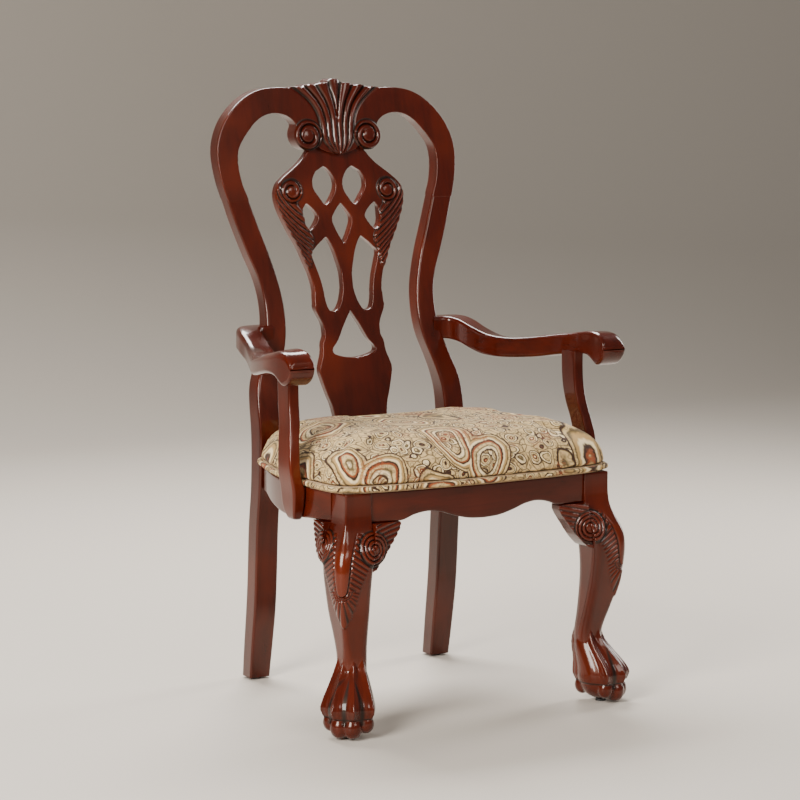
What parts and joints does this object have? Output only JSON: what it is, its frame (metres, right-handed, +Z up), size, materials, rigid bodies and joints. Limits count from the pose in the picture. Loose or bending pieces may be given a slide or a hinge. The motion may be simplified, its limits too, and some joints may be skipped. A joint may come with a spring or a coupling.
{
  "type": "armchair",
  "caption": "Carved wooden dining armchair with a hooped back, pierced splat, scrolling arms, crowned upholstered seat and cabriole front legs on clutched balls.",
  "frame": {"origin": "on the floor, under the middle of the chair's bounding box", "axes": "+Z up from the floor, -Y towards the front of the seat, +X towards the arm on the right of someone who looks at the chair's front"},
  "size_m": [0.681, 0.5904, 1.1],
  "materials": {
    "carved_wood": "gloss",
    "block_wood": "matte",
    "plywood": "matte",
    "dowel": "matte",
    "upholstery": "matte",
    "foam": "matte",
    "cambric": "matte",
    "steel": "satin",
    "glide": "matte"
  },
  "bodies": {
    "root": {"arm_left": "carved_wood", "arm_right": "carved_wood", "arm_screw_left": "steel", "arm_screw_right": "steel", "arm_support_left": "carved_wood", "arm_support_right": "carved_wood", "back_splat": "carved_wood", "block_screw_front_a_left": "steel", "block_screw_front_a_right": "steel", "block_screw_front_b_left": "steel", "block_screw_front_b_right": "steel", "block_screw_rear_a_left": "steel", "block_screw_rear_a_right": "steel", "block_screw_rear_b_left": "steel", "block_screw_rear_b_right": "steel", "corner_block_front_left": "block_wood", "corner_block_front_right": "block_wood", "corner_block_rear_left": "block_wood", "corner_block_rear_right": "block_wood", "crest_dowel_inner_left": "dowel", "crest_dowel_inner_right": "dowel", "crest_dowel_outer_left": "dowel", "crest_dowel_outer_right": "dowel", "crest_rail": "carved_wood", "dust_cover": "cambric", "front_leg_left": "carved_wood", "front_leg_right": "carved_wood", "front_seat_rail": "carved_wood", "glide_front_left": "glide", "glide_front_right": "glide", "glide_rear_left": "glide", "glide_rear_right": "glide", "knee_block_front_left": "carved_wood", "knee_block_front_right": "carved_wood", "knee_block_side_left": "carved_wood", "knee_block_side_right": "carved_wood", "rear_post_left": "carved_wood", "rear_post_right": "carved_wood", "rear_seat_rail": "carved_wood", "seat_board": "plywood", "seat_cover": "upholstery", "seat_foam": "foam", "seat_screw_front_left": "steel", "seat_screw_front_right": "steel", "seat_screw_rear_left": "steel", "seat_screw_rear_right": "steel", "seat_welt": "upholstery", "side_seat_rail_left": "carved_wood", "side_seat_rail_right": "carved_wood", "splat_shoe": "carved_wood", "support_dowel_left": "dowel", "support_dowel_right": "dowel", "support_screw_high_left": "steel", "support_screw_high_right": "steel", "support_screw_low_left": "steel", "support_screw_low_right": "steel"}
  },
  "joints": []
}
